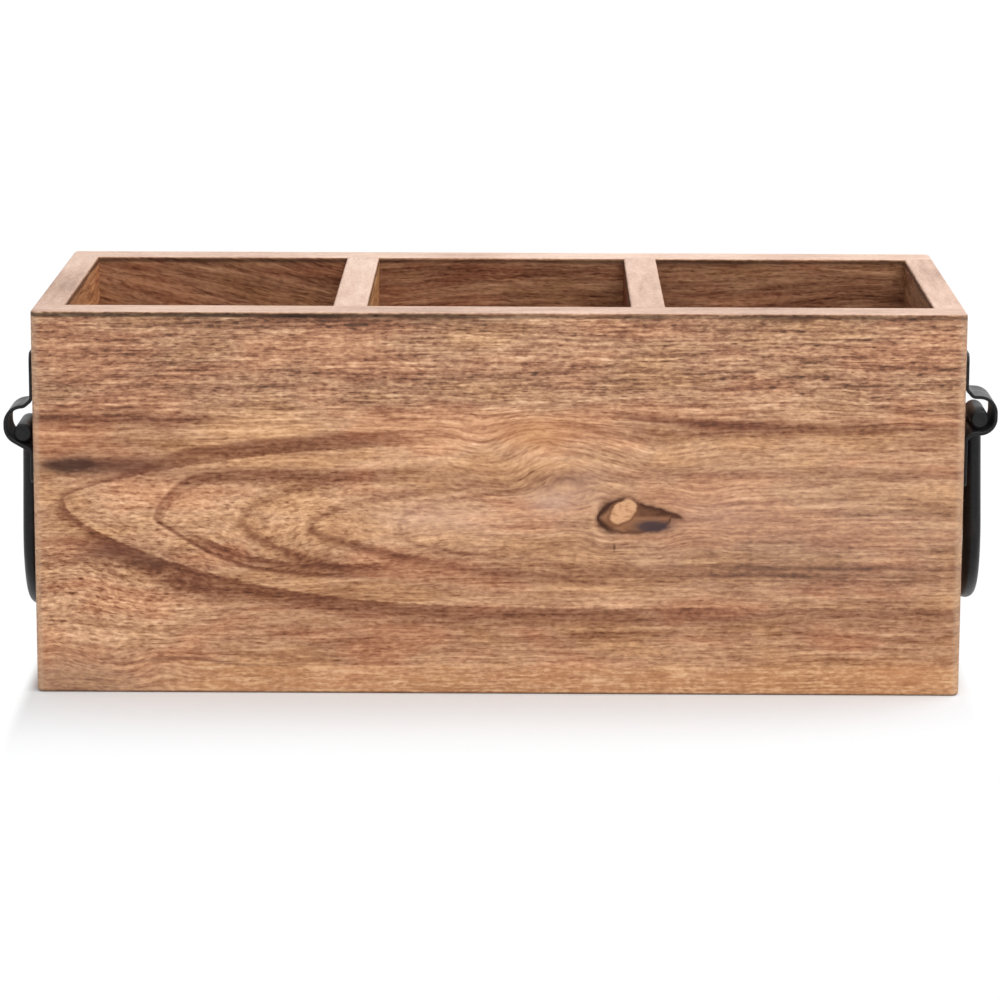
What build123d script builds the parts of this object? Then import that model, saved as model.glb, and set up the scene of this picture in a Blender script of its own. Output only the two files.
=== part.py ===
from build123d import *
from math import radians, tan
import os

# Utensil caddy: an open hardwood box of three bays with a drop handle (bail)
# of round iron bar at each end, carried in bent iron straps. Millimetres.
# +Z is up, the front faces -Y, and the origin lies under the middle of the
# box on the surface it stands on.

# ---- the box's own sizes ----------------------------------------------
box_length = 320.0
box_depth = 144.0
box_height = 134.0
face_thickness = 14.0       # front and back boards, full length
end_thickness = 10.5        # end boards, between the front and the back
divider_thickness = 12.0
middle_bay = 90.6           # clear width between the two dividers
bottom_thickness = 8.0
corner_round = 2.5          # upright outer corners
rim_round = 1.0             # edges of the rim, outside and in the bays
foot_round = 1.2            # outer edges at the floor

# ---- joints in the wood -------------------------------------------------
rebate_width = 5.0          # ledge that takes the edge of the bottom board
rebate_gap = 0.25           # bottom board to the wall of the rebate
dowel_diameter = 6.0
dowel_length = 30.0
dowel_in_face = 9.5         # part of a dowel that lies in a face board
dowel_glue_gap = 0.05       # round the dowel
dowel_end_gap = 0.5         # beyond each end of the dowel
dowel_chamfer = 0.6
corner_dowel_foot = 22.0    # from the floor to a corner's lowest dowel
corner_dowel_rim = 10.0     # from the rim to its highest one
divider_dowel_margin = 36.0 # from the floor and the rim
pin_diameter = 1.4          # panel pins through the edge of the bottom board
pin_head_diameter = 2.4
pin_head_height = 0.8
pin_length = 20.0
pin_hole_gap = 0.05
pin_recess = 0.4            # pin head above the floor
pin_margin = 34.0           # from a bay corner to the nearest pin
pins_along_face = 4
pins_along_end = 2

# ---- screws -------------------------------------------------------------
screw_head_angle = 82.0
screw_seat_gap = 0.1        # round the head and the shank
screw_end_gap = 0.5         # below the point
thread_pitch = 1.4
core_share = 0.7            # core of the thread over its outer diameter
recess_share = 0.55         # span of the cross in the head over the head
recess_width = 0.9          # each arm of the cross
recess_depth = 1.0
strap_screw_diameter = 3.5
strap_screw_head = 6.2
strap_screw_length = 9.5
divider_screw_diameter = 4.0
divider_screw_head = 7.6
divider_screw_length = 28.0
divider_screw_recess = 0.3  # head above the floor
divider_screw_margin = 23.0 # from a face board to the nearer screw

# ---- handles ------------------------------------------------------------
bar_diameter = 6.35
bar_end_chamfer = 0.6
bail_inset = 3.5            # bar end and strap behind the box's front face
bail_flat = 20.0            # straight stretch at the bottom of a bail
bail_leg_inset = 31.0       # middle of a leg behind the box's front face
bail_pivot_bend = 7.0       # bend radius beside a strap, along the middle of the bar
strap_thickness = 1.2
strap_corner = 3.0          # corners of the flanges
strap_edge_round = 0.3

# The iron was cut and bent by hand, so the ends differ. The pivot is measured
# down from the rim, the bail's lowest stretch up from the floor and its lean
# away from the box from the pivot, and a strap's lap from the corner joint
# inwards, on to the end board. The flanges' ends are measured from the pivot,
# and the rest from the bar: to the board, to the inside of the loop away from
# the box, to the inside of the shoulder over the bar, to the strap's middle
# line at the outer and the inner end of the sole under it, and from there to
# the knee where the strap comes back to the board.
left_end = {
    "side": -1,
    "pivot_below_rim": 43.2,
    "bail_low": 21.2,
    "bail_lean": 1.25,
    "strap_lap": 7.5,
    "bar_to_board": 0.4,
    "loop_slack": 2.325,
    "flange_rise": 28.1,
    "flange_drop": 17.8,
    "shoulder_room": 5.45,
    "shoulder_slope": 0.6,
    "shoulder_in": 2.65,
    "neck_height": 2.2,
    "sole_out": -1.85,
    "sole_in": 1.65,
    "sole_in_reach": 2.95,
    "knee": 1.4,
    "bend_radii": [2.6, 2.2, 6.0, 6.0, 3.0, 2.4],
}
right_end = {
    "side": 1,
    "pivot_below_rim": 37.0,
    "bail_low": 25.2,
    "bail_lean": 1.8,
    "strap_lap": 10.5,
    "bar_to_board": 2.0,
    "loop_slack": 1.75,
    "flange_rise": 22.8,
    "flange_drop": 23.9,
    "shoulder_room": 3.95,
    "shoulder_slope": 0.3,
    "shoulder_in": 2.3,
    "neck_height": 2.5,
    "sole_out": 1.9,
    "sole_in": 1.9,
    "sole_in_reach": 2.3,
    "knee": 2.0,
    "bend_radii": [2.0, 1.8, 5.6, 5.4, 1.8, 2.0],
}

# ---- sizes that follow ----------------------------------------------------
inner_length = box_length - 2 * end_thickness
inner_depth = box_depth - 2 * face_thickness
side_bay = (inner_length - middle_bay - 2 * divider_thickness) / 2
divider_x = middle_bay / 2 + divider_thickness / 2
side_bay_x = divider_x + divider_thickness / 2 + side_bay / 2
end_x = box_length / 2 - end_thickness / 2
face_y = box_depth / 2 - face_thickness / 2
joint_y = inner_depth / 2
dowel_y = joint_y + dowel_in_face - dowel_length / 2
rebate_length = inner_length + 2 * rebate_width
rebate_depth = inner_depth + 2 * rebate_width
bar_radius = bar_diameter / 2
bail_leg_y = box_depth / 2 - bail_leg_inset
bail_corner_bend = bail_leg_y - bail_flat / 2
divider_screw_y = joint_y - divider_screw_margin
TOUCH = 0.01                # how near two lengths must be to count as one

os.makedirs("parts", exist_ok=True)


def save(part, label):
    part.label = label
    export_step(part, f"parts/{label}.step")


# ---- the box as it leaves the sander ---------------------------------------
# The boards are rounded together after glue-up, so every board is cut from
# this one shape and the rounding runs across the joints.
with BuildPart() as sanded_box:
    with BuildSketch():
        Rectangle(box_length, box_depth)
        fillet(vertices(), corner_round)
    extrude(amount=box_height)
    fillet(edges().group_by(Axis.Z)[-1], rim_round)
    fillet(edges().group_by(Axis.Z)[0], foot_round)
    with BuildSketch(Plane.XY.offset(box_height)):
        Rectangle(middle_bay, inner_depth)
        with Locations((-side_bay_x, 0), (side_bay_x, 0)):
            Rectangle(side_bay, inner_depth)
    extrude(amount=bottom_thickness - box_height, mode=Mode.SUBTRACT)
    rim_edges = edges().group_by(Axis.Z)[-1]
    fillet(rim_edges.filter_by(lambda e: abs(e.center().Y) < joint_y + TOUCH
                               and abs(e.center().X) < inner_length / 2 + TOUCH), rim_round)


# ---- dowels -----------------------------------------------------------------
def pivot_height(end):
    return box_height - end["pivot_below_rim"]


def pivot_out(end):
    return end["bar_to_board"] + bar_radius


def corner_dowels(end, faces=(-1, 1)):
    """Middles of the dowels in an end board, kept clear of the screws of its straps."""
    pivot = pivot_height(end)
    heights = [corner_dowel_foot, (corner_dowel_foot + pivot) / 2, pivot, box_height - corner_dowel_rim]
    return [(end["side"] * end_x, face * dowel_y, z) for face in faces for z in heights]


def divider_dowels(side):
    heights = [divider_dowel_margin, box_height - divider_dowel_margin]
    return [(side * divider_x, face * dowel_y, z) for face in (-1, 1) for z in heights]


all_dowels = corner_dowels(left_end) + corner_dowels(right_end) + divider_dowels(-1) + divider_dowels(1)


def drill_dowel_holes():
    with Locations(*all_dowels):
        Cylinder(dowel_diameter / 2 + dowel_glue_gap, dowel_length + 2 * dowel_end_gap,
                 rotation=(90, 0, 0), mode=Mode.SUBTRACT)


def dowels(label, places):
    with BuildPart() as pegs:
        with Locations(*places):
            Cylinder(dowel_diameter / 2, dowel_length, rotation=(90, 0, 0))
        chamfer(pegs.edges().filter_by(GeomType.CIRCLE), dowel_chamfer)
    save(pegs.part, label)


# ---- panel pins ---------------------------------------------------------------
pin_row_y = joint_y + rebate_width / 2
pin_row_x = inner_length / 2 + rebate_width / 2
pin_step_x = (inner_length - 2 * pin_margin) / (pins_along_face - 1)
pin_step_y = (inner_depth - 2 * pin_margin) / (pins_along_end - 1)
pin_places = []
for row in (-1, 1):
    for k in range(pins_along_face):
        pin_places.append((pin_margin - inner_length / 2 + pin_step_x * k, row * pin_row_y, pin_recess))
    for k in range(pins_along_end):
        pin_places.append((row * pin_row_x, pin_margin - inner_depth / 2 + pin_step_y * k, pin_recess))
upward = (Align.CENTER, Align.CENTER, Align.MIN)


def drill_pin_holes():
    with Locations(*pin_places):
        Cylinder(pin_diameter / 2 + pin_hole_gap, pin_length + pin_hole_gap, align=upward, mode=Mode.SUBTRACT)
        Cylinder(pin_head_diameter / 2 + pin_hole_gap, 2 * (pin_head_height + pin_recess), mode=Mode.SUBTRACT)


# ---- screws ---------------------------------------------------------------------
def head_height(diameter, head):
    return (head - diameter) / 2 / tan(radians(screw_head_angle / 2))


def wood_screw(diameter, head, length):
    """A countersunk wood screw with its head's face at the origin, pointing down."""
    thread = diameter / 2
    core = thread * core_share
    taper = head_height(diameter, head)
    turns = int((length - taper) / thread_pitch) - 1
    outline = [(0, 0), (head / 2, 0), (thread, -taper)]
    for turn in range(turns):
        crest = -taper - thread_pitch * (turn + 1)
        outline += [(core, crest + thread_pitch / 2), (thread, crest)]
    outline += [(core, -length + 2 * core), (0, -length)]
    with BuildPart() as screw:
        with BuildSketch(Plane.XZ):
            with BuildLine():
                Polyline(*outline, close=True)
            make_face()
        revolve(axis=Axis.Z)
        Box(head * recess_share, recess_width, 2 * recess_depth, mode=Mode.SUBTRACT)
        Box(recess_width, head * recess_share, 2 * recess_depth, mode=Mode.SUBTRACT)
    return screw.part


def screw_hole(diameter, head, length):
    """The space that a screw needs, as a body to take away."""
    taper = head_height(diameter, head)
    shank = diameter / 2 + screw_seat_gap
    mouth = head / 2 + screw_seat_gap
    with BuildPart() as hole:
        with BuildSketch(Plane.XZ):
            with BuildLine():
                Polyline((0, screw_end_gap), (mouth, screw_end_gap), (mouth, 0), (shank, -taper),
                         (shank, -length - screw_end_gap), (0, -length - screw_end_gap), close=True)
            make_face()
        revolve(axis=Axis.Z)
    return hole.part


def seats_in_divider(x):
    """Seats of the screws that come up through the bottom board into a divider."""
    return [Location((x, y, divider_screw_recess), (180, 0, 0)) for y in (-divider_screw_y, divider_screw_y)]


def strap_route(end):
    """Corners of a strap's middle line, out from the end board and up, from the top."""
    flat = strap_thickness / 2
    out = pivot_out(end) + bar_radius + end["loop_slack"] + flat
    pivot = pivot_height(end)
    shoulder = pivot + bar_radius + end["shoulder_room"] + flat
    under_bar = pivot - bar_radius
    return [
        (flat, pivot + end["flange_rise"]),
        (flat, shoulder + end["neck_height"]),
        (flat + end["shoulder_in"], shoulder),
        (out, shoulder - end["shoulder_slope"]),
        (out, under_bar - end["sole_out"]),
        (flat + end["sole_in_reach"], under_bar - end["sole_in"]),
        (flat, under_bar - end["sole_in"] - end["knee"]),
        (flat, pivot - end["flange_drop"]),
    ]


def strap_width(end):
    return face_thickness - bail_inset + end["strap_lap"]


def strap_middle(end, place):
    """Middle of a strap's width; place is -1 for the front pair, 1 for the rear."""
    return place * (box_depth / 2 - bail_inset - strap_width(end) / 2)


def seats_in_strap(end, place):
    """Seats of a strap's two screws, on its outer face, where the end board lies behind it."""
    side = end["side"]
    face = side * (box_length / 2 + strap_thickness)
    y = place * (joint_y - end["strap_lap"] / 2)
    heights = [up for out, up in strap_route(end)]
    upper_flange = (heights[0] + heights[1]) / 2
    lower_flange = (heights[-2] + heights[-1]) / 2
    return [Location((face, y, z), (0, side * 90, 0)) for z in (upper_flange, lower_flange)]


divider_screw_hole = screw_hole(divider_screw_diameter, divider_screw_head, divider_screw_length)
strap_screw_hole = screw_hole(strap_screw_diameter, strap_screw_head, strap_screw_length)
divider_screw = wood_screw(divider_screw_diameter, divider_screw_head, divider_screw_length)
strap_screw = wood_screw(strap_screw_diameter, strap_screw_head, strap_screw_length)


# ---- face boards -------------------------------------------------------------------
def face_board(label, side):
    with BuildPart() as board:
        with Locations((0, side * face_y, 0)):
            Box(box_length, face_thickness, box_height, align=upward)
        add(sanded_box.part, mode=Mode.INTERSECT)
        Box(rebate_length, rebate_depth, bottom_thickness, align=upward, mode=Mode.SUBTRACT)
        drill_dowel_holes()
        drill_pin_holes()
    save(board.part, label)


face_board("front_board", -1)
face_board("back_board", 1)


# ---- end boards ---------------------------------------------------------------------
def end_board(label, end):
    with BuildPart() as board:
        with Locations((end["side"] * end_x, 0, 0)):
            Box(end_thickness, inner_depth, box_height, align=upward)
        add(sanded_box.part, mode=Mode.INTERSECT)
        Box(rebate_length, rebate_depth, bottom_thickness, align=upward, mode=Mode.SUBTRACT)
        drill_dowel_holes()
        drill_pin_holes()
        with Locations(*seats_in_strap(end, -1), *seats_in_strap(end, 1)):
            add(strap_screw_hole, mode=Mode.SUBTRACT)
    save(board.part, label)


end_board("left_end_board", left_end)
end_board("right_end_board", right_end)


# ---- dividers -----------------------------------------------------------------------
def divider(label, side):
    x = side * divider_x
    with BuildPart() as board:
        with Locations((x, 0, bottom_thickness)):
            Box(divider_thickness, inner_depth, box_height - bottom_thickness, align=upward)
        add(sanded_box.part, mode=Mode.INTERSECT)
        drill_dowel_holes()
        with Locations(*seats_in_divider(x)):
            add(divider_screw_hole, mode=Mode.SUBTRACT)
    save(board.part, label)


divider("left_divider", -1)
divider("right_divider", 1)

# ---- bottom board --------------------------------------------------------------------
with BuildPart() as bottom_board:
    Box(rebate_length - 2 * rebate_gap, rebate_depth - 2 * rebate_gap, bottom_thickness, align=upward)
    drill_pin_holes()
    with Locations(*seats_in_divider(-divider_x), *seats_in_divider(divider_x)):
        add(divider_screw_hole, mode=Mode.SUBTRACT)
save(bottom_board.part, "bottom_board")

# ---- what holds the boards together --------------------------------------------------
for end_name, end in (("left", left_end), ("right", right_end)):
    dowels(f"front_{end_name}_dowels", corner_dowels(end, (-1,)))
    dowels(f"back_{end_name}_dowels", corner_dowels(end, (1,)))
    dowels(f"{end_name}_divider_dowels", divider_dowels(end["side"]))
    with BuildPart() as divider_screws:
        with Locations(*seats_in_divider(end["side"] * divider_x)):
            add(divider_screw)
    save(divider_screws.part, f"{end_name}_divider_screws")

with BuildPart() as bottom_pins:
    with Locations(*pin_places):
        Cylinder(pin_diameter / 2, pin_length, align=upward)
        Cylinder(pin_head_diameter / 2, pin_head_height, align=upward)
save(bottom_pins.part, "bottom_board_pins")


# ---- straps -----------------------------------------------------------------------------
def strap(label, end, place):
    side = end["side"]
    corners = [(side * (box_length / 2 + out), up) for out, up in strap_route(end)]
    with BuildPart() as band:
        with BuildSketch(Plane.XZ.offset(-strap_middle(end, place))):
            with BuildLine():
                FilletPolyline(*corners, radius=end["bend_radii"])
            trace(line_width=strap_thickness)
        extrude(amount=strap_width(end) / 2, both=True)
        flange_ends = band.edges().filter_by(Axis.X).filter_by(
            lambda e: abs(e.length - strap_thickness) < TOUCH)
        fillet(flange_ends, strap_corner)
        flanks = band.faces().filter_by(Axis.Y)
        fillet(flanks.edges(), strap_edge_round)
        with Locations(*seats_in_strap(end, place)):
            add(strap_screw_hole, mode=Mode.SUBTRACT)
    save(band.part, label)


# ---- bails --------------------------------------------------------------------------------
def bail(label, end):
    x = end["side"] * (box_length / 2 + pivot_out(end))
    top = pivot_height(end)
    low_x = x + end["side"] * end["bail_lean"]
    low = end["bail_low"]
    tip_y = box_depth / 2 - bail_inset
    corners = [(x, -tip_y, top), (x, -bail_leg_y, top), (low_x, -bail_leg_y, low),
               (low_x, bail_leg_y, low), (x, bail_leg_y, top), (x, tip_y, top)]
    bends = [bail_pivot_bend, bail_corner_bend, bail_corner_bend, bail_pivot_bend]
    with BuildPart() as bar:
        with BuildLine():
            FilletPolyline(*corners, radius=bends)
        with BuildSketch(Plane(origin=corners[0], z_dir=(0, 1, 0))):
            Circle(bar_radius)
        sweep()
        tips = bar.edges().filter_by(GeomType.CIRCLE).filter_by(
            lambda e: abs(abs(e.center().Y) - tip_y) < TOUCH)
        chamfer(tips, bar_end_chamfer)
    save(bar.part, label)


for end_name, end in (("left", left_end), ("right", right_end)):
    bail(f"{end_name}_bail", end)
    for place_name, place in (("front", -1), ("rear", 1)):
        strap(f"{end_name}_{place_name}_strap", end, place)
        with BuildPart() as strap_screws:
            with Locations(*seats_in_strap(end, place)):
                add(strap_screw)
        save(strap_screws.part, f"{end_name}_{place_name}_strap_screws")
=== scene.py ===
import math

import bmesh
import bpy
from mathutils import Matrix, Vector

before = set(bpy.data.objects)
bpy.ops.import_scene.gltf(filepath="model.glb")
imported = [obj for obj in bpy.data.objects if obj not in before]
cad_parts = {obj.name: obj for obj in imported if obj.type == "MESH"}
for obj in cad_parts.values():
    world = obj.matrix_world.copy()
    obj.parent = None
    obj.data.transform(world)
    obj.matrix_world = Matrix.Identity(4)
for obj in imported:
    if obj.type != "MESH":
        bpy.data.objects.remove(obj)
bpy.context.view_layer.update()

# The box's own sizes in mm, as the CAD has them.
END = 160.0      # from the middle of the box to its ends
FACE = 72.0      # from the middle to the outside of the front and back boards
BAY_END = 149.5  # from the middle to the inside of the end boards
BAY_FACE = 58.0  # from the middle to the inside of the front and back boards
RIM = 134.0      # from the floor to the rim


# ---- small tools -------------------------------------------------------------
def srgb(code):
    """An sRGB hex colour as the linear RGBA that shaders work in."""
    parts = [int(code[i:i + 2], 16) / 255 for i in (1, 3, 5)]
    return [p / 12.92 if p <= 0.04045 else ((p + 0.055) / 1.055) ** 2.4 for p in parts] + [1.0]


def add(tree, kind, inputs=None, out=0, stops=(), **settings):
    """Adds a node with its settings, its inputs (values or wires) and a ramp's stops, and
    gives one of its outputs."""
    node = tree.nodes.new(kind)
    for key, value in settings.items():
        setattr(node, key, value)
    for key, value in (inputs or {}).items():
        if isinstance(value, Wire):
            tree.links.new(value.socket, node.inputs[key])
        else:
            node.inputs[key].default_value = value
    for k, (place, colour) in enumerate(stops):
        ramp = node.color_ramp.elements
        stop = ramp[k] if k < 2 else ramp.new(place)
        stop.position, stop.color = place, colour
    return Wire(tree, node.outputs[out]) if node.outputs else None


class Wire:
    """A value on its way through a material, so that a formula reads as one."""

    def __init__(self, tree, socket):
        self.tree, self.socket = tree, socket

    def step(self, start, end):
        """0 at start, 1 at end, smooth between them and level beyond; start may be the greater."""
        inputs = {"Value": self, "From Min": start, "From Max": end}
        return add(self.tree, "ShaderNodeMapRange", inputs, interpolation_type="SMOOTHSTEP")

    def bell(self, middle, reach):
        """1 at the middle, falling away on both sides over the reach."""
        off = (self - middle) / reach
        return (off * off * -1.0).exponential()

    def fade(self, start, end, loss):
        """1 up to the start, and less by the loss from the end on."""
        return 1.0 - self.step(start, end) * loss


def arithmetic(operation, turned=False):
    """A method that works a Math operation out on the wire and what it meets, if anything."""
    def worked_out(self, *others):
        values = (*others, self) if turned else (self, *others)
        return add(self.tree, "ShaderNodeMath", dict(enumerate(values)), operation=operation)
    return worked_out


for method, operation in (("__add__", "ADD"), ("__radd__", "ADD"), ("__sub__", "SUBTRACT"),
                          ("__mul__", "MULTIPLY"), ("__rmul__", "MULTIPLY"),
                          ("__truediv__", "DIVIDE"), ("__pow__", "POWER"),
                          ("__abs__", "ABSOLUTE"), ("at_least", "MAXIMUM"),
                          ("at_most", "MINIMUM"), ("exponential", "EXPONENT"), ("sine", "SINE")):
    setattr(Wire, method, arithmetic(operation))
Wire.__rsub__ = arithmetic("SUBTRACT", turned=True)
Wire.__rtruediv__ = arithmetic("DIVIDE", turned=True)


def spot(x, z, centre_x, centre_z, reach_x, reach_z):
    """A soft oval patch."""
    across, up = (x - centre_x) / reach_x, (z - centre_z) / reach_z
    return ((across * across + up * up) * -1.0).exponential()


def spots(x, z, rows):
    """Soft oval patches laid over one another, each with its own amount."""
    return sum(spot(x, z, *place) * amount for *place, amount in rows)


def millimetres(tree):
    """The piece's own coordinates in millimetres."""
    whole = add(tree, "ShaderNodeTexCoord", out="Object")
    split = add(tree, "ShaderNodeSeparateXYZ", {"Vector": whole})
    return [Wire(tree, end) * 1000.0 for end in split.socket.node.outputs]


def facing(tree, axis):
    """How far the surface faces along an axis of the piece, from -1 to 1."""
    normal = add(tree, "ShaderNodeTexCoord", out="Normal")
    return add(tree, "ShaderNodeSeparateXYZ", {"Vector": normal}, out=axis)


def flecks(place, sizes, seed, detail=2.0, roughness=0.5):
    """Noise about 0, whose grains have the given sizes in millimetres along three directions."""
    tree = place[0].tree
    first, second, third = [p / size for p, size in zip(place, sizes)]
    # The seed moves the pattern by unlike amounts in two directions.
    inputs = {"X": first + seed, "Y": second + seed * 0.37, "Z": third}
    vector = add(tree, "ShaderNodeCombineXYZ", inputs)
    inputs = {"Vector": vector, "Scale": 1.0, "Detail": detail, "Roughness": roughness}
    return add(tree, "ShaderNodeTexNoise", inputs) - 0.5


# The places of the Mix node's sockets for colours, which share their names with others.
MIX_AMOUNT, MIX_BELOW, MIX_ABOVE, MIX_RESULT = 0, 6, 7, 2


def layered(colour, layers):
    """Lays each (amount, colour, way) over the colour below it."""
    below = srgb(colour) if isinstance(colour, str) else colour
    for amount, above, way in layers:
        above = srgb(above) if isinstance(above, str) else above
        inputs = {MIX_AMOUNT: amount, MIX_BELOW: below, MIX_ABOVE: above}
        below = add(amount.tree, "ShaderNodeMix", inputs, out=MIX_RESULT, data_type="RGBA",
                    blend_type=way)
    return below


def material(name):
    """A new, empty material and its nodes."""
    made = bpy.data.materials.new(name)
    made.use_nodes = True
    made.node_tree.nodes.clear()
    return made, made.node_tree


def surfaced(made, height, depth, strength, **inputs):
    """Ends a material: its shader, with a relief of the given depth in metres."""
    tree = made.node_tree
    relief = {"Height": height, "Strength": strength, "Distance": depth}
    inputs = {key.replace("_", " "): value for key, value in inputs.items()}
    inputs["Normal"] = add(tree, "ShaderNodeBump", relief)
    shader = add(tree, "ShaderNodeBsdfPrincipled", inputs)
    add(tree, "ShaderNodeOutputMaterial", {"Surface": shader})
    return made


# ---- wood --------------------------------------------------------------------
# Mango wood, planed, sanded and wiped with clear oil. Fibres, torn a little by the plane,
# catch the light as pale threads, and the open pores between them hold oil and read as dark
# dashes 1 to 4 mm long. Rings that the face cuts at a slant show as nested arches.
FIBRE_TONES = [
    (0.00, srgb("#392014")),
    (0.13, srgb("#4c2c1d")),
    (0.25, srgb("#6e442c")),
    (0.41, srgb("#926448")),
    (0.57, srgb("#ae8162")),
    (0.71, srgb("#c79a77")),
    (0.85, srgb("#deb08b")),
    (1.00, srgb("#f4cca8")),
]
# The rim's colours: partly sanded fresh wood, partly painted top light.
RIM_TONES_WITH_TOP_LIGHT = [(0.0, srgb("#a98a7a")), (0.5, srgb("#dcbba8")), (1.0, srgb("#fadfce"))]
MEAN_TONE = 0.565
TONE_SPREAD = 0.87  # oil draws the tones together, towards the pale end
RIM_MEAN_TONE = 0.5

# The front board's tables: centre x, centre z, reach x and reach z in mm, then the amount.
# Where its fibres lean, by slope.
FRONT_LEANS = [
    (-131.0, 44.0, 26.0, 20.0, -0.34),
    (-94.0, 49.0, 26.0, 13.0, -0.40),
    (-50.0, 55.0, 22.0, 9.0, -0.22),
    (-145.0, 14.0, 12.0, 8.0, -0.28),
    (-122.0, 9.0, 10.0, 5.0, 0.32),
    (3.0, 90.0, 13.0, 8.0, 0.42),
    (40.0, 84.0, 22.0, 11.0, -0.30),
    (12.0, 76.0, 14.0, 8.0, 0.40),
    (30.0, 70.0, 8.0, 5.0, 0.45),
    (62.0, 69.0, 12.0, 6.0, -0.36),
    (31.0, 54.0, 8.0, 5.0, -0.36),
    (60.0, 54.0, 12.0, 5.0, 0.28),
]
# Where it is lighter or darker than its mean.
FRONT_LIGHTS = [
    (-112.0, 66.0, 34.0, 9.0, 0.12),
    (-55.0, 62.0, 62.0, 15.0, 0.08),
    (14.0, 88.0, 32.0, 12.0, 0.07),
    (95.0, 82.0, 55.0, 9.0, 0.04),
    (-140.0, 91.5, 30.0, 2.4, 0.14),
    (-138.0, 90.0, 26.0, 14.0, -0.12),
    (-26.0, 88.0, 26.0, 9.0, 0.17),
    (138.0, 90.0, 24.0, 12.0, -0.06),
    (-132.0, 22.0, 28.0, 12.0, 0.10),
    (140.0, 24.0, 26.0, 14.0, -0.06),
    (-130.0, 116.0, 40.0, 14.0, -0.09),
    (40.0, 118.0, 140.0, 16.0, -0.05),
    (-32.0, 118.0, 22.0, 14.0, -0.07),
    (136.0, 118.0, 26.0, 14.0, -0.06),
    (-100.0, 130.0, 60.0, 4.0, -0.12),
    (110.0, 130.0, 60.0, 3.0, -0.07),
    (-80.0, 94.0, 24.0, 7.0, 0.09),
    (-28.0, 60.0, 24.0, 10.0, 0.07),
    (128.0, 58.0, 30.0, 12.0, -0.04),
    (20.0, 22.0, 150.0, 10.0, -0.05),
    (110.0, 46.0, 50.0, 12.0, -0.05),
]
# Where its short fibres stand out more.
FRONT_SPECKLES = [
    (-140.0, 40.0, 36.0, 26.0, 0.55),
    (-70.0, 60.0, 50.0, 14.0, 0.40),
]
# Its soft stains, by strength and colour.
FRONT_STAINS = [
    (-129.0, 80.8, 17.0, 3.6, 0.80, "#633a2c"),
    (-147.0, 81.2, 11.0, 2.6, 1.30, "#3c2019"),
    (-148.5, 69.4, 2.6, 1.5, 0.60, "#7a4a33"),
    (-149.0, 54.4, 9.0, 1.7, 0.70, "#85492e"),
    (-134.0, 50.6, 12.0, 3.0, 0.85, "#6b402f"),
    (-121.0, 46.8, 9.0, 2.6, 0.60, "#64402f"),
    (-86.0, 59.0, 5.0, 4.5, 0.30, "#a4724f"),
    (-57.0, 57.0, 5.0, 4.0, 0.34, "#9c6a4a"),
    (12.0, 92.0, 12.0, 6.0, 0.30, "#dc9f66"),
    (28.0, 73.0, 10.0, 7.0, 0.28, "#c9a491"),
    (-22.0, 62.0, 22.0, 6.0, 0.38, "#d3ac94"),
    (17.0, 68.0, 8.0, 5.0, 0.40, "#cfae9c"),
    (49.4, 47.0, 3.2, 1.6, 0.45, "#e0b890"),
    (39.1, 51.9, 0.5, 1.4, 0.80, "#4f2c1d"),
    (139.0, 7.0, 14.0, 3.5, 0.30, "#c4804f"),
    (72.0, 64.0, 18.0, 5.0, 0.22, "#c39b88"),
]
# Its arches: the tip's x and z, then for the lower and the upper arm how fast it leaves the
# axis (scale, power) and the run in mm after which it lies level.
FRONT_ARCHES = [
    (-149.6, 68.9, 2.70, 0.58, 98.0, 1.15, 0.62, 98.0),
    (-118.4, 62.4, 0.85, 0.90, 34.0, 3.20, 0.62, 14.0),
    (-88.5, 60.6, 1.96, 0.61, 38.0, 3.20, 0.45, 38.0),
    (-65.5, 59.2, 1.13, 0.65, 90.0, 1.90, 0.52, 90.0),
    (-34.6, 59.6, 4.00, 0.29, 90.0, 3.00, 0.40, 90.0),
]
# Its knot: the place of the eye and of the pale core in it, in mm.
KNOT_X, KNOT_Z = 42.0, 62.5
CORE_X, CORE_Z = 42.2, 64.7


def arch_gap(x, z, arch):
    """How far inside an arch a point lies, in mm across its line, and how far above the axis."""
    tip_x, tip_z, fall, fall_power, fall_level, climb, climb_power, climb_level = arch
    rise = z - tip_z
    level = rise.step(0.3, -0.3) * (fall_level - climb_level) + climb_level
    run = (x - tip_x).at_least(-40.0)
    run = run / ((run.at_least(0.0) / level) ** 4.0 + 1.0) ** 0.25  # no longer than level
    lower = ((0.0 - rise).at_least(0.0) / fall) ** (1.0 / fall_power)
    upper = (rise.at_least(0.0) / climb) ** (1.0 / climb_power)
    slope = (lower / fall_power + upper / climb_power) / (abs(rise) + 0.5)
    return (run - lower - upper) / (slope * slope + 1.0) ** 0.5, rise


def nested_lines(gaps, lines, along, seed):
    """Fine lines that run alongside the arch they lie in; outside the arches, the given ones."""
    for gap, rise in gaps:
        beside_arch = flecks((gap, along, along), (1.2, 60.0, 60.0), seed, detail=1.0)
        lines = lines + (beside_arch - lines) * gap.step(-4.0, -2.0)
    return lines


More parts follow.
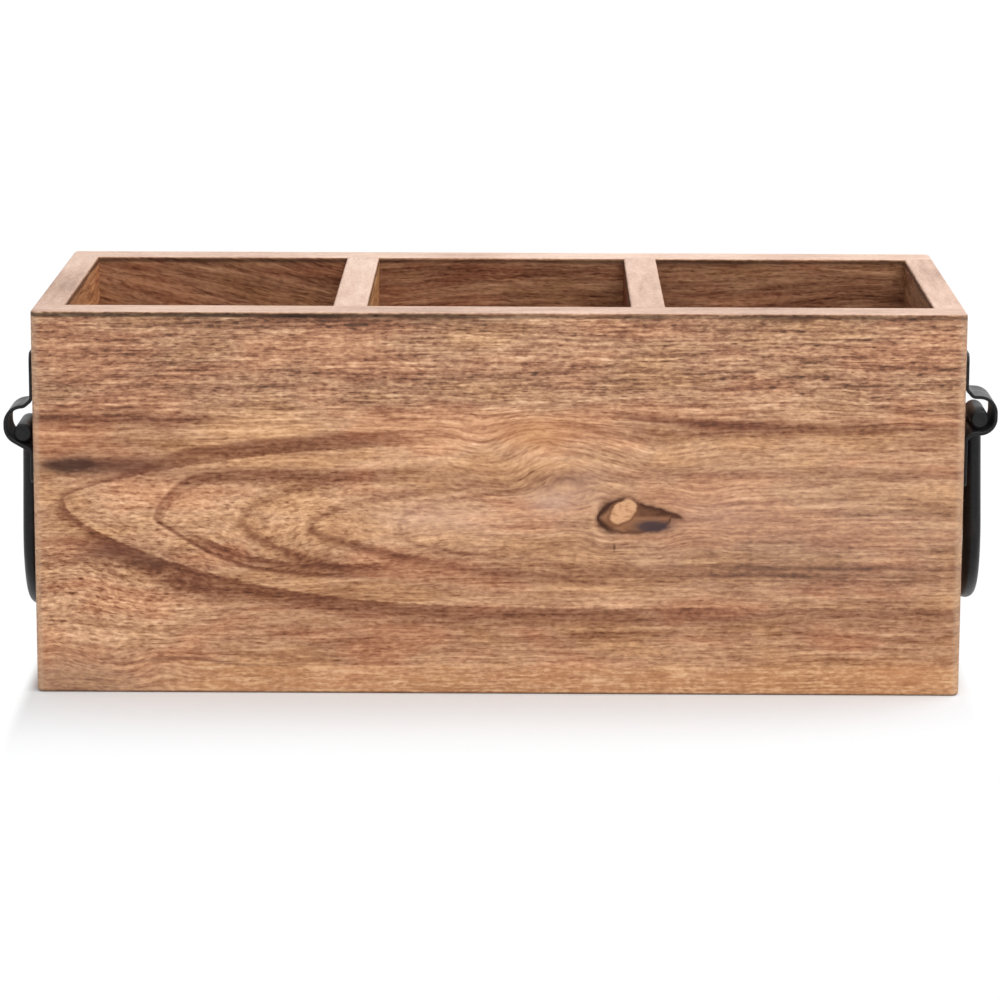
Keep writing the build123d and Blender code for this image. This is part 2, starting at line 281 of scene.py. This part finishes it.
def front_arches(gaps, x, ragged):
    """How dark the front board's nested arches are, from 0 to about 1."""
    outer, second, third, fourth, fifth = [gap + ragged for gap, rise in gaps]
    under = [rise.step(0.5, -0.5) for gap, rise in gaps[:4]]

    # The outer one is a hairline at its tip that swells, outwards, into a broad dark band.
    swell = x.bell(-108.0, 23.0) * 6.4 + x.step(-100.0, -60.0) * 2.8 + 0.6
    low_band = outer.step(0.5, -0.5) * (outer + swell).step(-4.5, 1.5)
    low_band = low_band * (0.95 - x.step(-85.0, -20.0) * 0.25 - x.step(-10.0, 120.0) * 0.25)
    reach = x.step(-138.0, -106.0) * 4.2 + 0.4
    high_band = outer.step(0.4, -0.5) * (outer + reach).step(-1.6, 0.4)
    high_band = high_band * (0.76 - x.step(-60.0, -8.0) * 0.66)
    dark = low_band * under[0] + high_band * (1.0 - under[0])

    # The second has two hairlines below and a soft band above.
    hairlines = second.bell(0.0, 0.75) * 0.92
    hairlines = hairlines + second.bell(2.6, 1.15) * 0.76 * x.step(-114.0, -98.0)
    hairlines = (hairlines + second.bell(1.4, 1.6) * 0.22) * x.fade(-68.0, -30.0, 0.75)
    soft = second.bell(0.0, 0.8) * 0.56 + second.bell(1.8, 1.7) * 0.60
    soft = soft * x.fade(-85.0, -30.0, 0.8)
    dark = dark + hairlines * under[1] + soft * (1.0 - under[1])

    # The inner three are single soft lines, fainter above.
    dark = dark + third.bell(0.4, 2.0) * (under[2] * 0.30 + 0.42) * x.fade(-62.0, -30.0, 0.8)
    dark = dark + fourth.bell(0.4, 1.6) * (under[3] * 0.26 + 0.50) * x.fade(-30.0, 10.0, 0.7)
    return dark + fifth.bell(0.2, 0.9) * 0.48 * x.fade(-8.0, 30.0, 0.6)


def front_streaks(x, z, ragged):
    """How dark the streaks above and to the right of the arches are, from 0 to about 1."""
    height = z + ragged * 0.4
    droop = (x - 14.0).at_least(0.0) / 26.0
    upper_line = 92.6 + 9.4 / (droop * droop * 0.55 + 1.0)
    dark = (height - upper_line).bell(0.0, 1.5)
    dark = dark * (x.bell(76.0, 40.0) * 0.86 + x.step(12.0, 40.0) * 0.28)
    dark = dark + height.bell(97.2, 1.6) * x.step(-76.0, -124.0) * 0.90
    climbing = height - (x + 100.0) * 0.035
    dark = dark + climbing.bell(101.8, 0.7) * x.step(-50.0, -110.0) * 0.25
    # Below the knot, to the right, lies a patch of faint streaks.
    streak_spacing = 2.2
    wave = (height * (2.0 * math.pi / streak_spacing)).sine()
    return dark + (wave * 0.5 + 0.5) * spot(x, z, 100.0, 43.5, 46.0, 5.6) * 0.30


def knot_layers(x, z, ragged, grain):
    """The small knot right of the front's middle: pale core, dark rim, a tail and a lobe to
    the right."""
    up = z - KNOT_Z
    right, left = (x - KNOT_X).at_least(0.0), (KNOT_X - x).at_least(0.0) / 9.0
    round_left = (1.0 - left * left).at_least(0.0) ** 0.55
    above = (1.0 - right / 21.5).at_least(0.0) ** 0.95 * round_left * 6.5
    below = (1.0 - (right / 16.5) ** 2.0).at_least(0.0) ** 0.5 * round_left * 5.6
    rim_gap = (up - above).at_least(0.0 - up - below) + ragged * 0.9
    near = x.step(31.6, 33.2) * x.step(64.0, 61.0)
    inside = rim_gap.step(0.3, -0.4) * near
    steep = x.step(KNOT_X, 34.5)
    rim = ((rim_gap + 0.35 + steep * 0.8) / (steep * 1.3 + 0.95)).bell(0.0, 1.0) * near
    rim = rim * (up.step(-3.0, 3.0).at_least(steep) * 0.35 + 0.62)
    tail = inside * x.step(44.5, 48.5) * up.step(-0.6, 1.2)
    lobe = spot(x, z, 52.2, 59.5, 5.6, 1.9) * 1.5

    core_across = (x - CORE_X) / 4.5
    core_up = (z - CORE_Z - (x - CORE_X) * 0.35) / 4.1
    core_gap = (core_across * core_across + core_up * core_up) ** 0.5 + ragged * 0.16
    core = core_gap.step(1.08, 0.84)
    return [
        (rim_gap.bell(1.2, 1.6) * near * 0.35, "#9c6a4c", "MIX"),
        (inside * (grain + 0.80), "#8f5f3e", "MIX"),
        (rim, "#38180c", "MIX"),
        (tail * (0.74 - grain * 0.8), "#4c2a1a", "MIX"),
        (lobe.at_most(0.9 - grain * 0.3), "#3d2f34", "MIX"),
        (core, "#d3a27a", "MIX"),
        (core * grain.step(0.04, -0.20) * 0.55, "#9a6440", "MIX"),
        (core_gap.bell(1.12, 0.12) * 0.6, "#6a3f27", "MIX"),
    ]


def front_layers(x, z, place, seed, figure, short, long, broad):
    """The front board's own colours: its figure, a strip of sapwood, stains and the knot."""
    ragged = flecks(place, (4.0, 2.2, 5.0), seed + 12.0)
    sway = flecks(place, (40.0, 9.0, 20.0), seed + 4.4, detail=1.0) * 3.0
    sap_height = z + x.bell(-108.0, 14.0) * -2.6 + sway
    sap = sap_height.step(10.6, 8.6) * x.step(-128.0, -96.0)
    sap_line = sap_height.bell(10.4, 0.6) * spot(x, z, -106.0, 11.0, 26.0, 8.0)
    streak = (short + long) * 1.2
    layers = [
        (figure.at_most(1.0) * 0.46, "#74432f", "MIX"),
        (z.step(90.0, 108.0) * 0.16, "#8a7768", "MIX"),
        (spot(x, z, -146.0, 5.0, 22.0, 7.0) * 0.35, "#927766", "MIX"),
        (spot(x, z, 105.0, 58.0, 75.0, 24.0) * 0.13, "#b5ab9b", "MIX"),
        (sap * (0.42 - broad * 0.9), "#cb9569", "MIX"),
        (sap * streak.at_least(0.0), "#ecc69d", "MIX"),
        (sap * (0.0 - streak).at_least(0.0), "#9c6844", "MIX"),
        (sap_line * 0.55, "#6a4530", "MIX"),
    ]
    ragged_z = z + ragged * 2.0
    for *oval, strength, colour in FRONT_STAINS:
        stain = spot(x, ragged_z, *oval) * strength
        layers.append((stain.at_most(0.90), colour, "MIX"))
    return layers + knot_layers(x, z, ragged * 3.0, short)


def wear_and_shade_layers(place, x, y, z, up, within, seed):
    """The ends of the outer faces are worn pale, and dark lines run where the rim rolls over
    outside.
    Inside the bays a painted shade line runs under the rim, and a painted contact shadow runs
    along the foot."""
    outside = 1.0 - within
    worn = abs(x).step(END - 3.4, END - 1.2) * abs(y).step(FACE - 3.0, FACE - 1.0)
    uneven = flecks(place, (34.0, 30.0, 30.0), seed + 15.0, detail=2.0).step(-0.10, 0.12)
    roll = (z.bell(RIM - 1.35, 0.72) * 1.5).at_most(1.0) * up.step(0.8, 0.5) * outside
    roll = roll * (x.step(-10.0, -90.0) * 0.30 + uneven * 0.18 + 0.50)
    return [
        (worn * 0.36, "#c9a98d", "MIX"),
        (z.bell(RIM - 2.6, 1.5) * outside * uneven * 0.42, "#5a3a2a", "MIX"),
        # painted shade under the rim's inner edge
        (z.bell(RIM - 1.4, 0.8) * within * 0.8, "#2c180e", "MIX"),
        (roll, "#1c0e06", "MIX"),
        # painted contact shadow along the foot
        (z.bell(0.2, 0.55) * outside * 0.6, "#4a2f22", "MIX"),
    ]


def oiled_wood(name, run, seed, pith=(0.0, 40.0), tilt=0.06, slant=0.0, bays="#9c704a",
               bay_painted_light=0.0, bay_painted_shade_per_mm=0.0, rim_painted_shade=0.0, front=False):
    """run is the axis of the grain, and pith, in mm, the heart's place across and through the
    board. bays tints the faces inside the bays as painted shade; bay_painted_light paints them
    lighter, and bay_painted_shade_per_mm paints them darker for each mm to the right.
    rim_painted_shade paints shade on the rim, or light where it is below 0. front adds the front
    board's figure."""
    made, tree = material(name)
    x, y, z = millimetres(tree)
    place = along, across, through = {"X": (x, z, y), "Y": (y, z, x), "XY": (x, y, z)}[run]

    sway = flecks(place, (70.0, 26.0, 40.0), seed, detail=1.0)
    shiver = flecks(place, (11.0, 4.0, 8.0), seed + 3.1, detail=1.5)
    if front:
        # The front's figure was laid out half a per cent short and a hair turned: this fits it.
        fig_x, fig_z = x * 0.995 - 0.755, z - x * 0.005
        leans = [(fig_x - oval[0]) * slope * spot(fig_x, fig_z, *oval)
                 for *oval, slope in FRONT_LEANS]
        ring = flow = fig_z - sum(leans) + sway * 3.0 + shiver * 1.1
    else:
        flow = across + sway * 5.0 + shiver * 1.3 + (along + 45.0).at_most(0.0) * slant
        off, deep = flow - pith[0], through - pith[1] + along * tilt
        ring = (off * off + deep * deep) ** 0.5

    # Rings: broad soft seasons with fine lines inside them.
    seasons = flecks((along, ring, through), (150.0, 5.2, 60.0), seed + 7.7, detail=1.5)
    lines = flecks((along, ring, through), (70.0, 1.25, 60.0), seed + 11.3, detail=1.0)

    # Fibres and pores: short dashes everywhere, long threads where the grain runs straight.
    strand = (along, flow, through)
    short = flecks(strand, (2.1, 0.95, 1.1), seed + 1.7, detail=1.5)
    long = flecks(strand, (14.0, 0.90, 1.1), seed + 5.2, detail=1.5)
    broad = flecks(strand, (22.0, 2.6, 3.0), seed + 6.6, detail=1.5)
    pores = flecks(strand, (3.4, 0.70, 0.8), seed + 2.9, detail=0.0).step(0.10, 0.26)
    if front:
        swayed_z = fig_z + sway * 1.4
        gaps = [arch_gap(fig_x, swayed_z, arch) for arch in FRONT_ARCHES]
        nested = nested_lines(gaps[:4], lines, fig_x, seed + 18.2)
        lines = lines + (nested * 1.5 - lines) * spot(fig_x, fig_z, -100.0, 58.0, 62.0, 24.0)
        curly = spot(fig_x, fig_z, -70.0, 60.0, 56.0, 17.0)
        straight = 0.64 - curly * 0.52 + fig_z.step(88.0, 104.0) * 0.46
        speckled = spots(fig_x, fig_z, FRONT_SPECKLES) + fig_z.step(94.0, 108.0) * 0.42 + 0.56
        band = seasons * straight * 0.50 + lines * straight.at_least(0.5) * 0.42
    else:
        straight, speckled = 0.85, 0.66
        band = seasons * (straight * 0.50) + lines * (straight * 0.42)
    fibre = short * speckled + long * straight
    tone = band + fibre + broad * 0.42 - pores * speckled * 0.22 + MEAN_TONE

    up = facing(tree, "Z")
    within = abs(x).step(BAY_END + 0.2, BAY_END - 0.2) * z.step(RIM - 0.6, RIM - 1.0)
    within = within * abs(y).step(BAY_FACE + 0.2, BAY_FACE - 0.2)
    if front:
        rough = shiver * 0.8 + short * 0.65
        figure = front_arches(gaps, fig_x, rough) + front_streaks(fig_x, swayed_z, rough)
        patchy = flecks(place, (30.0, 7.0, 30.0), seed + 15.5, detail=1.0) * 0.8 + 1.0
        figure = figure * patchy * (1.0 - within)
        tone = tone - figure * (0.34 - short * 0.2) + spots(fig_x, fig_z, FRONT_LIGHTS)
    # Inside the bays the grain is mixed anew, and the tone takes painted light or shade, with
    # painted shade growing towards the right.
    tone = tone + within * (band * 0.45 + broad * 0.6 - fibre * 0.5 - x * bay_painted_shade_per_mm + bay_painted_light)

    tone = tone * TONE_SPREAD + (1.0 - TONE_SPREAD)
    colour = add(tree, "ShaderNodeValToRGB", {"Fac": tone}, stops=FIBRE_TONES)
    drift = flecks(place, (40.0, 13.0, 30.0), seed + 9.9, detail=2.0)
    layers = [
        (drift.step(-0.04, 0.14) * 0.30, "#bf8672", "SOFT_LIGHT"),
        (drift.step(0.04, -0.14) * 0.30, "#a39362", "SOFT_LIGHT"),
    ]
    if front:
        layers += front_layers(fig_x, fig_z, place, seed, figure, short, long, broad)
    # Faces inside the bays are multiplied by their tint as painted shade, less so where a board's
    # inner face meets the light from the right.
    layers.append((within, bays, "MULTIPLY"))
    layers += wear_and_shade_layers(place, x, y, z, up, within, seed)
    # The rim is painted paler, greyer and quieter than the oiled faces: partly sanded fresh wood,
    # partly painted top light. Each board's rim is then darkened or lightened as painted shade or
    # light.
    rim = up.step(0.5, 0.85) * z.step(RIM - 3.0, RIM - 1.8)
    quiet = short * 0.45 + broad * 0.60 + sway * 0.8 + (RIM_MEAN_TONE - rim_painted_shade)
    layers.append((rim, add(tree, "ShaderNodeValToRGB", {"Fac": quiet}, stops=RIM_TONES_WITH_TOP_LIGHT), "MIX"))

    return surfaced(made, fibre * 0.9 - pores * 0.9 + lines * 0.5, depth=0.00018, strength=0.55,
                    Base_Color=layered(colour, layers), Roughness=0.60 - fibre * 0.25 + rim * 0.12,
                    IOR=1.45, Specular_IOR_Level=0.22)


# ---- iron and steel ----------------------------------------------------------
def black_iron(name, seed):
    """Hot-bent mild steel, blackened in oil: the scale is rough and drinks light. The upward faces
    are painted a dull grey, partly dust and partly painted top light."""
    made, tree = material(name)
    place = millimetres(tree)
    scale = flecks(place, (1.4, 1.4, 1.4), seed, detail=4.0, roughness=0.65)
    cloud = flecks(place, (9.0, 9.0, 9.0), seed + 4.0)
    colour = layered("#060607", [
        (scale.step(-0.15, 0.2), "#131213", "MIX"),
        (cloud.step(0.0, 0.25) * 0.3, "#2e2523", "MIX"),
        # painted grey on the upward faces: partly dust, partly painted top light
        (facing(tree, "Z").step(0.25, 0.95) * 0.32, "#58585b", "MIX"),
    ])
    return surfaced(made, scale, depth=0.00014, strength=0.5, Base_Color=colour,
                    Roughness=cloud * 0.4 + 0.40, Specular_IOR_Level=0.24)


def black_screw_steel(name):
    """Phosphated wood screws: an even, dry black with a faint purple cast."""
    made, tree = material(name)
    crystal = flecks(millimetres(tree), (0.25, 0.25, 0.25), 2.0, detail=3.0)
    colour = layered("#1b1a1e", [(crystal + 0.5, "#333037", "MIX")])
    return surfaced(made, crystal, depth=0.00003, strength=0.3, Base_Color=colour,
                    Roughness=crystal * 0.2 + 0.55, Metallic=0.6)


def zinc_steel(name):
    """Zinc-plated pins and screws: bright, with the milky mottle of the plating bath."""
    made, tree = material(name)
    bloom = flecks(millimetres(tree), (0.7, 0.7, 0.7), 5.0, detail=3.0)
    colour = layered("#9fa2a6", [(bloom + 0.5, "#c9ccce", "MIX")])
    return surfaced(made, bloom, depth=0.00003, strength=0.2, Base_Color=colour,
                    Roughness=bloom * 0.2 + 0.35, Metallic=1.0)


def beech_dowel(name):
    """Beech dowel rod: pale, dense wood with tiny brown ray flecks along its length."""
    made, tree = material(name)
    x, y, z = millimetres(tree)
    grain = flecks((y, x, z), (9.0, 0.7, 0.7), 6.0)
    rays = flecks((y, x, z), (1.6, 0.25, 0.25), 8.0, detail=1.0).step(0.1, 0.2)
    colour = layered("#b78f68", [(grain + 0.5, "#dcbf98", "MIX"), (rays * 0.5, "#8c6244", "MIX")])
    return surfaced(made, grain, depth=0.00008, strength=0.3, Base_Color=colour,
                    Roughness=grain * 0.2 + 0.6)


# ---- what each piece is made of ----------------------------------------------
def dress(made, *names):
    """Gives the named CAD nodes the material, and nothing else."""
    for name in names:
        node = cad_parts[name]
        node.data.materials.clear()
        node.data.materials.append(made)


# The bay settings paint light and shade inside the bays. The left end and the left divider face
# the light from the right and are painted lighter and warmer. The back board's bays are painted
# darker towards the right. The rim settings paint each board's rim darker or lighter, as painted
# shade or light.
BOARDS = {
    "front_board": dict(run="X", seed=2.0, rim_painted_shade=0.09, front=True),
    "back_board": dict(run="X", seed=21.0, pith=(50.0, 110.0), tilt=0.10, slant=0.22,
                       bay_painted_light=-0.04, bay_painted_shade_per_mm=0.0008, rim_painted_shade=-0.16),
    "left_end_board": dict(run="Y", seed=33.0, pith=(40.0, -190.0), tilt=0.12, bays="#f7c586",
                           bay_painted_light=0.14, rim_painted_shade=0.11),
    "right_end_board": dict(run="Y", seed=47.0, pith=(90.0, 210.0), tilt=-0.10),
    "left_divider": dict(run="Y", seed=59.0, pith=(70.0, -90.0), bays="#ead6ba", bay_painted_light=0.16,
                         rim_painted_shade=-0.12),
    "right_divider": dict(run="Y", seed=68.0, pith=(60.0, 95.0), rim_painted_shade=0.03),
    "bottom_board": dict(run="XY", seed=75.0, pith=(10.0, -60.0)),
}
for board, wood in BOARDS.items():
    dress(oiled_wood(board.removesuffix("_board") + "_mango_board", **wood), board)

for side, seed in (("left", 3.0), ("right", 14.0)):
    dress(black_iron(f"{side}_blackened_iron", seed),
          f"{side}_front_strap", f"{side}_rear_strap", f"{side}_bail")
dress(black_screw_steel("phosphated_screw_steel"),
      "left_front_strap_screws", "left_rear_strap_screws",
      "right_front_strap_screws", "right_rear_strap_screws")
dress(zinc_steel("zinc_plated_steel"),
      "bottom_board_pins", "left_divider_screws", "right_divider_screws")
dress(beech_dowel("beech_dowel_rod"),
      "front_left_dowels", "front_right_dowels", "back_left_dowels", "back_right_dowels",
      "left_divider_dowels", "right_divider_dowels")

# ---- floor -------------------------------------------------------------------
# Matt white paper. Past the box's own soft shadow it is plain white, as a lit sweep is.
# How far the shadow reaches before and behind the box, and beside it, in mm, and how much
# farther beside it for each mm that lies behind the box.
SHADOW_BEFORE, SHADOW_BESIDE, SHADOW_SPREAD = 120.0, 6.5, 0.4
paper, tree = material("white_paper_floor")
x, y, z = millimetres(tree)
tooth = flecks((x, y, z), (0.6, 0.6, 0.6), 1.0) + 0.5
sheet = layered("#f1f5f8", [(tooth, "#f7fafc", "MIX")])
reach_beside = (y - FACE).at_least(0.0) * SHADOW_SPREAD + SHADOW_BESIDE
beside = (abs(x) - END).at_least(0.0) / reach_beside
before = (abs(y) - FACE).at_least(0.0) / SHADOW_BEFORE
past_shadow = ((beside * beside + before * before) ** 0.5).step(0.1, 1.0)
matt = add(tree, "ShaderNodeBsdfDiffuse", {"Color": sheet})
lit = add(tree, "ShaderNodeEmission", {"Color": srgb("#ffffff"), "Strength": 1.02})
blend = add(tree, "ShaderNodeMixShader", {0: past_shadow, 1: matt, 2: lit})
add(tree, "ShaderNodeOutputMaterial", {"Surface": blend})

half_width, half_depth = 5.0, 12.0  # metres
floor_mesh = bpy.data.meshes.new("floor")
shape = bmesh.new()
bmesh.ops.create_grid(shape, x_segments=1, y_segments=1, size=1.0)
bmesh.ops.scale(shape, vec=(half_width, half_depth, 1.0), verts=shape.verts)
shape.to_mesh(floor_mesh)
shape.free()
floor_mesh.materials.append(paper)
floor = bpy.data.objects.new("floor", floor_mesh)
bpy.context.scene.collection.objects.link(floor)


# ---- light -------------------------------------------------------------------
def softbox(name, place, aim, size, power):
    """A soft rectangular lamp, turned to what it lights. Metres and watts."""
    lamp = bpy.data.lights.new(name, "AREA")
    lamp.shape, lamp.energy = "RECTANGLE", power
    lamp.size, lamp.size_y = size
    thing = bpy.data.objects.new(name, lamp)
    thing.location = place
    thing.rotation_euler = (Vector(aim) - Vector(place)).to_track_quat("-Z", "Y").to_euler()
    bpy.context.scene.collection.objects.link(thing)


softbox("overhead", place=(0.50, 0.05, 1.15), aim=(0, 0, 0.05), size=(1.2, 1.2), power=9.6)
softbox("front_fill", place=(0.35, -1.9, 0.95), aim=(0, 0, 0.06), size=(1.3, 0.9), power=17.0)

# The walls are white wherever they are seen, also in metal, and light the box at half that.
world = bpy.data.worlds.new("studio")
bpy.context.scene.world = world
world.use_nodes = True
sky = world.node_tree
sky.nodes.clear()
path = add(sky, "ShaderNodeLightPath", out="Is Camera Ray")
ways = path.socket.node.outputs
seen = path + Wire(sky, ways["Is Glossy Ray"]) + Wire(sky, ways["Is Transmission Ray"])
walls = {"Color": srgb("#ffffff"), "Strength": seen * 0.5 + 0.5}
add(sky, "ShaderNodeOutputWorld", {"Surface": add(sky, "ShaderNodeBackground", walls)})

# ---- camera ------------------------------------------------------------------
# Where the photograph was taken from, fitted to the corners of the box in it.
standpoint = (0.01008, -1.47565, 0.35642)
yaw, pitch, roll = (math.radians(a) for a in (0.386, 11.58, 0.175))
view = bpy.data.cameras.new("camera")
view.lens, view.sensor_width = 150.0, 36.0
view.clip_start, view.clip_end = 0.05, 60.0
camera = bpy.data.objects.new("camera", view)
bpy.context.scene.collection.objects.link(camera)
level_right = Vector((math.cos(yaw), math.sin(yaw), 0))
level_ahead = Vector((-math.sin(yaw), math.cos(yaw), 0))
upright = Vector((0, 0, 1))
look = level_ahead * math.cos(pitch) - upright * math.sin(pitch)
crown = upright * math.cos(pitch) + level_ahead * math.sin(pitch)
camera_x = level_right * math.cos(roll) + crown * math.sin(roll)
camera_y = crown * math.cos(roll) - level_right * math.sin(roll)
turn = Matrix((camera_x, camera_y, -look)).transposed()
camera.matrix_world = Matrix.Translation(standpoint) @ turn.to_4x4()
bpy.context.scene.camera = camera
bpy.context.scene.view_settings.view_transform = "Standard"
